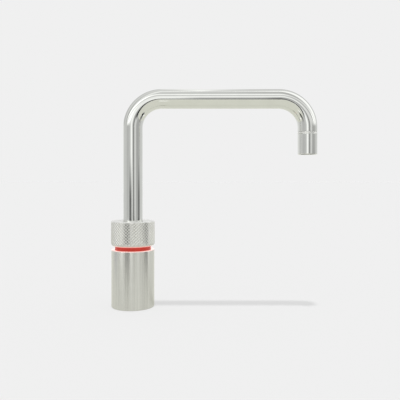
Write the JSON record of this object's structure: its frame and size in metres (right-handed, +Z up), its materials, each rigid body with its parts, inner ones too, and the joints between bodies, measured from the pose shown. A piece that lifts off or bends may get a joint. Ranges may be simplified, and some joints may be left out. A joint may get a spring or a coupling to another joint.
{
  "type": "boiling water tap",
  "caption": "Deck-mounted boiling water tap: knurled push-and-turn safety knob over a lit ring and an insulated square swan-neck spout that swivels in a straight body.",
  "frame": {"origin": "centre of the body's seat on the worktop's top face, on the riser axis", "axes": "+Z up along the riser, +X along the spout's arm, +Y to the back, where the cable runs"},
  "size_m": [0.242, 0.056, 0.3413],
  "materials": {
    "satin_steel": "satin, brushed round the axis",
    "polished_steel": "polished",
    "knurled_steel": "satin diamond knurl, bright rim",
    "inner_steel": "machined",
    "spring_steel": "plain",
    "brass": "machined",
    "red_light": "lit translucent red",
    "black_plastic": "moulded",
    "white_plastic": "moulded",
    "black_rubber": "matt",
    "board_green": "solder mask",
    "led_lens": "clear lens",
    "magnet": "plastic-bonded magnet"
  },
  "bodies": {
    "base": {"body_shell": "satin_steel", "base_plate": "inner_steel", "base_seal": "black_rubber", "core_column": "brass", "column_screw_1": "inner_steel", "column_screw_2": "inner_steel", "column_screw_3": "inner_steel", "carrier_stop_clip": "spring_steel", "thrust_washer": "white_plastic", "lower_bearing": "black_plastic", "upper_bearing": "black_plastic", "bearing_spacer": "inner_steel", "bearing_clip": "spring_steel", "light_ring": "red_light", "control_board": "board_green", "led_1": "led_lens", "led_2": "led_lens", "led_3": "led_lens", "led_4": "led_lens", "led_5": "led_lens", "led_6": "led_lens", "hall_sensor_1": "black_plastic", "hall_sensor_2": "black_plastic", "inlet_stem": "brass", "stem_seal_1": "black_rubber", "stem_seal_2": "black_rubber", "inlet_adapter": "brass", "threaded_shank": "brass", "rubber_washer": "black_rubber", "clamp_washer": "inner_steel", "back_nut": "brass", "control_cable": "black_plastic", "shank_plug": "black_plastic", "cable_gland": "black_rubber", "return_spring": "spring_steel"},
    "carrier": {"push_carrier": "white_plastic", "hub_clip": "spring_steel"},
    "knob": {"knob_sleeve": "knurled_steel", "knob_hub": "inner_steel", "magnet_ring": "magnet", "knob_wiper": "black_rubber"},
    "spout": {"spout_tube": "polished_steel", "hot_tube": "inner_steel", "spout_foot": "brass", "spout_spacer_1": "white_plastic", "spout_spacer_2": "white_plastic", "spout_spacer_3": "white_plastic", "spout_spacer_4": "white_plastic", "outlet_coupling": "satin_steel", "outlet_sleeve": "polished_steel", "outlet_nozzle": "black_plastic", "outlet_seal": "black_rubber", "flow_straightener": "white_plastic"}
  },
  "joints": [
    {"name": "spout_swivel", "type": "hinge", "parent": "base", "child": "spout", "pos_m": [0, 0, 0.0229], "axis": [0, 0, 1], "continuous": true},
    {"name": "knob_press", "type": "slide", "parent": "base", "child": "carrier", "axis": [0, 0, -1], "range_m": [0, 0.002], "stiffness_N_per_m": 1500, "springref_m": -0.004, "deforming": ["return_spring"]},
    {"name": "knob_turn", "type": "hinge", "parent": "carrier", "child": "knob", "pos_m": [0, 0, 0.0788], "axis": [0, 0, 1], "range_deg": [0, 90]}
  ]
}
